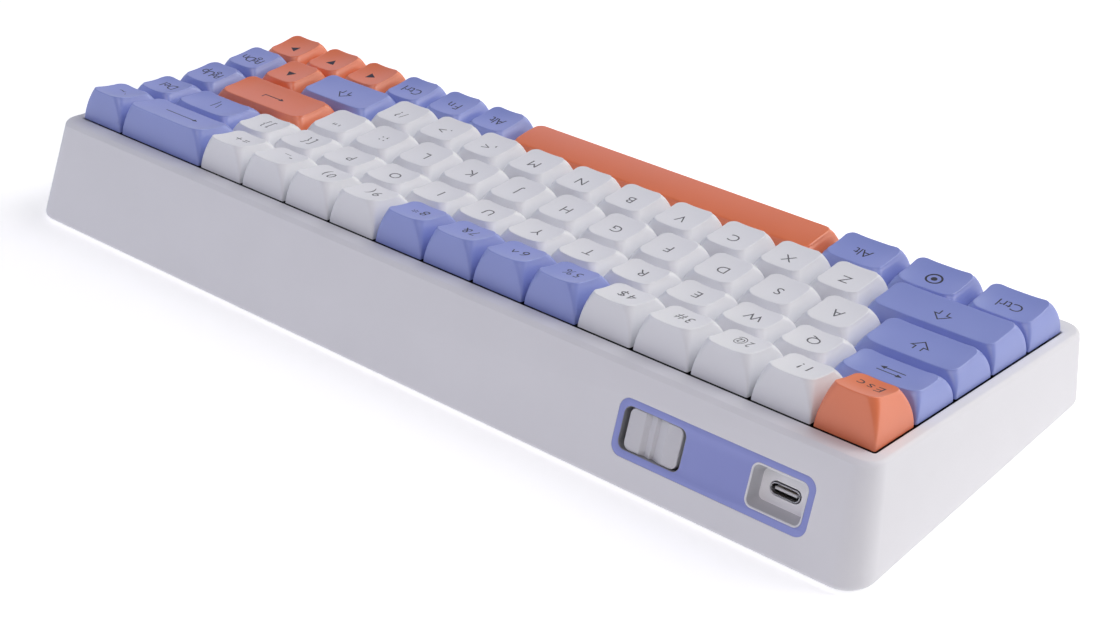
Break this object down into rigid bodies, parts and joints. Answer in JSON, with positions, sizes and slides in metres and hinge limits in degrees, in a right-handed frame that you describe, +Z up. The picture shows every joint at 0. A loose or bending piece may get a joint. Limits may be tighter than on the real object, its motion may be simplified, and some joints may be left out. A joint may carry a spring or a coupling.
{
  "type": "mechanical keyboard",
  "caption": "Compact wedge-shaped keyboard with sculpted keycaps that press down, and a slide switch and a USB-C inlet in a coloured panel on the rear wall.",
  "frame": {"origin": "middle of the bounding box at the desk surface, under the rubber strips", "axes": "+X towards the right hand of the person typing, +Y towards the rear wall with the inlet, +Z up"},
  "size_m": [0.3212, 0.1196, 0.0444],
  "materials": {
    "shell_white": "fine matte moulded surface",
    "cap_white": "matte keycap with printed legend",
    "cap_blue": "matte keycap with printed legend",
    "cap_orange": "matte keycap with printed legend",
    "panel_blue": "matte",
    "knob_white": "satin",
    "port_steel": "plain",
    "plate_black": "black coated steel",
    "housing_dark": "satin black",
    "board_green": "solder mask",
    "battery_foil": "foil pouch",
    "pad_rubber": "matte"
  },
  "bodies": {
    "case": {"accent_panel": "panel_blue", "battery": "battery_foil", "bottom_cover": "shell_white", "connector_board": "board_green", "front_pad": "pad_rubber", "keys_letters_front_rows": "cap_white", "pcb": "board_green", "rear_pad": "pad_rubber", "switch_housings": "housing_dark", "switch_plate": "plate_black", "top_case": "shell_white", "usb_c_port": "port_steel"},
    "key_0": {"key_0": "cap_white"},
    "key_1": {"key_1": "cap_white"},
    "key_2": {"key_2": "cap_white"},
    "key_3": {"key_3": "cap_white"},
    "key_4": {"key_4": "cap_white"},
    "key_5": {"key_5": "cap_blue"},
    "key_6": {"key_6": "cap_blue"},
    "key_7": {"key_7": "cap_blue"},
    "key_8": {"key_8": "cap_blue"},
    "key_9": {"key_9": "cap_white"},
    "key_alt_left": {"key_alt_left": "cap_blue"},
    "key_alt_right": {"key_alt_right": "cap_blue"},
    "key_backslash": {"key_backslash": "cap_blue"},
    "key_backspace": {"key_backspace": "cap_blue"},
    "key_bracket_left": {"key_bracket_left": "cap_white"},
    "key_bracket_right": {"key_bracket_right": "cap_white"},
    "key_caps_lock": {"key_caps_lock": "cap_blue"},
    "key_ctrl_left": {"key_ctrl_left": "cap_blue"},
    "key_ctrl_right": {"key_ctrl_right": "cap_blue"},
    "key_delete": {"key_delete": "cap_blue"},
    "key_down": {"key_down": "cap_orange"},
    "key_e": {"key_e": "cap_white"},
    "key_enter": {"key_enter": "cap_orange"},
    "key_equal": {"key_equal": "cap_white"},
    "key_esc": {"key_esc": "cap_orange"},
    "key_fn": {"key_fn": "cap_blue"},
    "key_i": {"key_i": "cap_white"},
    "key_left": {"key_left": "cap_orange"},
    "key_minus": {"key_minus": "cap_white"},
    "key_o": {"key_o": "cap_white"},
    "key_p": {"key_p": "cap_white"},
    "key_page_down": {"key_page_down": "cap_blue"},
    "key_page_up": {"key_page_up": "cap_blue"},
    "key_q": {"key_q": "cap_white"},
    "key_r": {"key_r": "cap_white"},
    "key_right": {"key_right": "cap_orange"},
    "key_shift_left": {"key_shift_left": "cap_blue"},
    "key_shift_right": {"key_shift_right": "cap_blue"},
    "key_space": {"key_space": "cap_orange"},
    "key_super": {"key_super": "cap_blue"},
    "key_t": {"key_t": "cap_white"},
    "key_tab": {"key_tab": "cap_blue"},
    "key_tilde": {"key_tilde": "cap_blue"},
    "key_u": {"key_u": "cap_white"},
    "key_up": {"key_up": "cap_orange"},
    "key_w": {"key_w": "cap_white"},
    "key_y": {"key_y": "cap_white"},
    "mode_switch": {"mode_switch_knob": "knob_white"}
  },
  "joints": [
    {"name": "press_0", "type": "slide", "parent": "case", "child": "key_0", "axis": [0, 0.0985, -0.9951], "range_m": [0, 0.004], "stiffness_N_per_m": 75, "springref_m": -0.004},
    {"name": "press_1", "type": "slide", "parent": "case", "child": "key_1", "axis": [0, 0.0985, -0.9951], "range_m": [0, 0.004], "stiffness_N_per_m": 75, "springref_m": -0.004},
    {"name": "press_2", "type": "slide", "parent": "case", "child": "key_2", "axis": [0, 0.0985, -0.9951], "range_m": [0, 0.004], "stiffness_N_per_m": 75, "springref_m": -0.004},
    {"name": "press_3", "type": "slide", "parent": "case", "child": "key_3", "axis": [0, 0.0985, -0.9951], "range_m": [0, 0.004], "stiffness_N_per_m": 75, "springref_m": -0.004},
    {"name": "press_4", "type": "slide", "parent": "case", "child": "key_4", "axis": [0, 0.0985, -0.9951], "range_m": [0, 0.004], "stiffness_N_per_m": 75, "springref_m": -0.004},
    {"name": "press_5", "type": "slide", "parent": "case", "child": "key_5", "axis": [0, 0.0985, -0.9951], "range_m": [0, 0.004], "stiffness_N_per_m": 75, "springref_m": -0.004},
    {"name": "press_6", "type": "slide", "parent": "case", "child": "key_6", "axis": [0, 0.0985, -0.9951], "range_m": [0, 0.004], "stiffness_N_per_m": 75, "springref_m": -0.004},
    {"name": "press_7", "type": "slide", "parent": "case", "child": "key_7", "axis": [0, 0.0985, -0.9951], "range_m": [0, 0.004], "stiffness_N_per_m": 75, "springref_m": -0.004},
    {"name": "press_8", "type": "slide", "parent": "case", "child": "key_8", "axis": [0, 0.0985, -0.9951], "range_m": [0, 0.004], "stiffness_N_per_m": 75, "springref_m": -0.004},
    {"name": "press_9", "type": "slide", "parent": "case", "child": "key_9", "axis": [0, 0.0985, -0.9951], "range_m": [0, 0.004], "stiffness_N_per_m": 75, "springref_m": -0.004},
    {"name": "press_alt_left", "type": "slide", "parent": "case", "child": "key_alt_left", "axis": [0, 0.0985, -0.9951], "range_m": [0, 0.004], "stiffness_N_per_m": 75, "springref_m": -0.004},
    {"name": "press_alt_right", "type": "slide", "parent": "case", "child": "key_alt_right", "axis": [0, 0.0985, -0.9951], "range_m": [0, 0.004], "stiffness_N_per_m": 75, "springref_m": -0.004},
    {"name": "press_backslash", "type": "slide", "parent": "case", "child": "key_backslash", "axis": [0, 0.0985, -0.9951], "range_m": [0, 0.004], "stiffness_N_per_m": 75, "springref_m": -0.004},
    {"name": "press_backspace", "type": "slide", "parent": "case", "child": "key_backspace", "axis": [0, 0.0985, -0.9951], "range_m": [0, 0.004], "stiffness_N_per_m": 75, "springref_m": -0.004},
    {"name": "press_bracket_left", "type": "slide", "parent": "case", "child": "key_bracket_left", "axis": [0, 0.0985, -0.9951], "range_m": [0, 0.004], "stiffness_N_per_m": 75, "springref_m": -0.004},
    {"name": "press_bracket_right", "type": "slide", "parent": "case", "child": "key_bracket_right", "axis": [0, 0.0985, -0.9951], "range_m": [0, 0.004], "stiffness_N_per_m": 75, "springref_m": -0.004},
    {"name": "press_caps_lock", "type": "slide", "parent": "case", "child": "key_caps_lock", "axis": [0, 0.0985, -0.9951], "range_m": [0, 0.004], "stiffness_N_per_m": 75, "springref_m": -0.004},
    {"name": "press_ctrl_left", "type": "slide", "parent": "case", "child": "key_ctrl_left", "axis": [0, 0.0985, -0.9951], "range_m": [0, 0.004], "stiffness_N_per_m": 75, "springref_m": -0.004},
    {"name": "press_ctrl_right", "type": "slide", "parent": "case", "child": "key_ctrl_right", "axis": [0, 0.0985, -0.9951], "range_m": [0, 0.004], "stiffness_N_per_m": 75, "springref_m": -0.004},
    {"name": "press_delete", "type": "slide", "parent": "case", "child": "key_delete", "axis": [0, 0.0985, -0.9951], "range_m": [0, 0.004], "stiffness_N_per_m": 75, "springref_m": -0.004},
    {"name": "press_down", "type": "slide", "parent": "case", "child": "key_down", "axis": [0, 0.0985, -0.9951], "range_m": [0, 0.004], "stiffness_N_per_m": 75, "springref_m": -0.004},
    {"name": "press_e", "type": "slide", "parent": "case", "child": "key_e", "axis": [0, 0.0985, -0.9951], "range_m": [0, 0.004], "stiffness_N_per_m": 75, "springref_m": -0.004},
    {"name": "press_enter", "type": "slide", "parent": "case", "child": "key_enter", "axis": [0, 0.0985, -0.9951], "range_m": [0, 0.004], "stiffness_N_per_m": 75, "springref_m": -0.004},
    {"name": "press_equal", "type": "slide", "parent": "case", "child": "key_equal", "axis": [0, 0.0985, -0.9951], "range_m": [0, 0.004], "stiffness_N_per_m": 75, "springref_m": -0.004},
    {"name": "press_esc", "type": "slide", "parent": "case", "child": "key_esc", "axis": [0, 0.0985, -0.9951], "range_m": [0, 0.004], "stiffness_N_per_m": 75, "springref_m": -0.004},
    {"name": "press_fn", "type": "slide", "parent": "case", "child": "key_fn", "axis": [0, 0.0985, -0.9951], "range_m": [0, 0.004], "stiffness_N_per_m": 75, "springref_m": -0.004},
    {"name": "press_i", "type": "slide", "parent": "case", "child": "key_i", "axis": [0, 0.0985, -0.9951], "range_m": [0, 0.004], "stiffness_N_per_m": 75, "springref_m": -0.004},
    {"name": "press_left", "type": "slide", "parent": "case", "child": "key_left", "axis": [0, 0.0985, -0.9951], "range_m": [0, 0.004], "stiffness_N_per_m": 75, "springref_m": -0.004},
    {"name": "press_minus", "type": "slide", "parent": "case", "child": "key_minus", "axis": [0, 0.0985, -0.9951], "range_m": [0, 0.004], "stiffness_N_per_m": 75, "springref_m": -0.004},
    {"name": "press_o", "type": "slide", "parent": "case", "child": "key_o", "axis": [0, 0.0985, -0.9951], "range_m": [0, 0.004], "stiffness_N_per_m": 75, "springref_m": -0.004},
    {"name": "press_p", "type": "slide", "parent": "case", "child": "key_p", "axis": [0, 0.0985, -0.9951], "range_m": [0, 0.004], "stiffness_N_per_m": 75, "springref_m": -0.004},
    {"name": "press_page_down", "type": "slide", "parent": "case", "child": "key_page_down", "axis": [0, 0.0985, -0.9951], "range_m": [0, 0.004], "stiffness_N_per_m": 75, "springref_m": -0.004},
    {"name": "press_page_up", "type": "slide", "parent": "case", "child": "key_page_up", "axis": [0, 0.0985, -0.9951], "range_m": [0, 0.004], "stiffness_N_per_m": 75, "springref_m": -0.004},
    {"name": "press_q", "type": "slide", "parent": "case", "child": "key_q", "axis": [0, 0.0985, -0.9951], "range_m": [0, 0.004], "stiffness_N_per_m": 75, "springref_m": -0.004},
    {"name": "press_r", "type": "slide", "parent": "case", "child": "key_r", "axis": [0, 0.0985, -0.9951], "range_m": [0, 0.004], "stiffness_N_per_m": 75, "springref_m": -0.004},
    {"name": "press_right", "type": "slide", "parent": "case", "child": "key_right", "axis": [0, 0.0985, -0.9951], "range_m": [0, 0.004], "stiffness_N_per_m": 75, "springref_m": -0.004},
    {"name": "press_shift_left", "type": "slide", "parent": "case", "child": "key_shift_left", "axis": [0, 0.0985, -0.9951], "range_m": [0, 0.004], "stiffness_N_per_m": 75, "springref_m": -0.004},
    {"name": "press_shift_right", "type": "slide", "parent": "case", "child": "key_shift_right", "axis": [0, 0.0985, -0.9951], "range_m": [0, 0.004], "stiffness_N_per_m": 75, "springref_m": -0.004},
    {"name": "press_space", "type": "slide", "parent": "case", "child": "key_space", "axis": [0, 0.0985, -0.9951], "range_m": [0, 0.004], "stiffness_N_per_m": 75, "springref_m": -0.004},
    {"name": "press_super", "type": "slide", "parent": "case", "child": "key_super", "axis": [0, 0.0985, -0.9951], "range_m": [0, 0.004], "stiffness_N_per_m": 75, "springref_m": -0.004},
    {"name": "press_t", "type": "slide", "parent": "case", "child": "key_t", "axis": [0, 0.0985, -0.9951], "range_m": [0, 0.004], "stiffness_N_per_m": 75, "springref_m": -0.004},
    {"name": "press_tab", "type": "slide", "parent": "case", "child": "key_tab", "axis": [0, 0.0985, -0.9951], "range_m": [0, 0.004], "stiffness_N_per_m": 75, "springref_m": -0.004},
    {"name": "press_tilde", "type": "slide", "parent": "case", "child": "key_tilde", "axis": [0, 0.0985, -0.9951], "range_m": [0, 0.004], "stiffness_N_per_m": 75, "springref_m": -0.004},
    {"name": "press_u", "type": "slide", "parent": "case", "child": "key_u", "axis": [0, 0.0985, -0.9951], "range_m": [0, 0.004], "stiffness_N_per_m": 75, "springref_m": -0.004},
    {"name": "press_up", "type": "slide", "parent": "case", "child": "key_up", "axis": [0, 0.0985, -0.9951], "range_m": [0, 0.004], "stiffness_N_per_m": 75, "springref_m": -0.004},
    {"name": "press_w", "type": "slide", "parent": "case", "child": "key_w", "axis": [0, 0.0985, -0.9951], "range_m": [0, 0.004], "stiffness_N_per_m": 75, "springref_m": -0.004},
    {"name": "press_y", "type": "slide", "parent": "case", "child": "key_y", "axis": [0, 0.0985, -0.9951], "range_m": [0, 0.004], "stiffness_N_per_m": 75, "springref_m": -0.004},
    {"name": "mode_switch_slide", "type": "slide", "parent": "case", "child": "mode_switch", "axis": [1, 0, 0], "range_m": [-0.0012, 0.0012]}
  ]
}
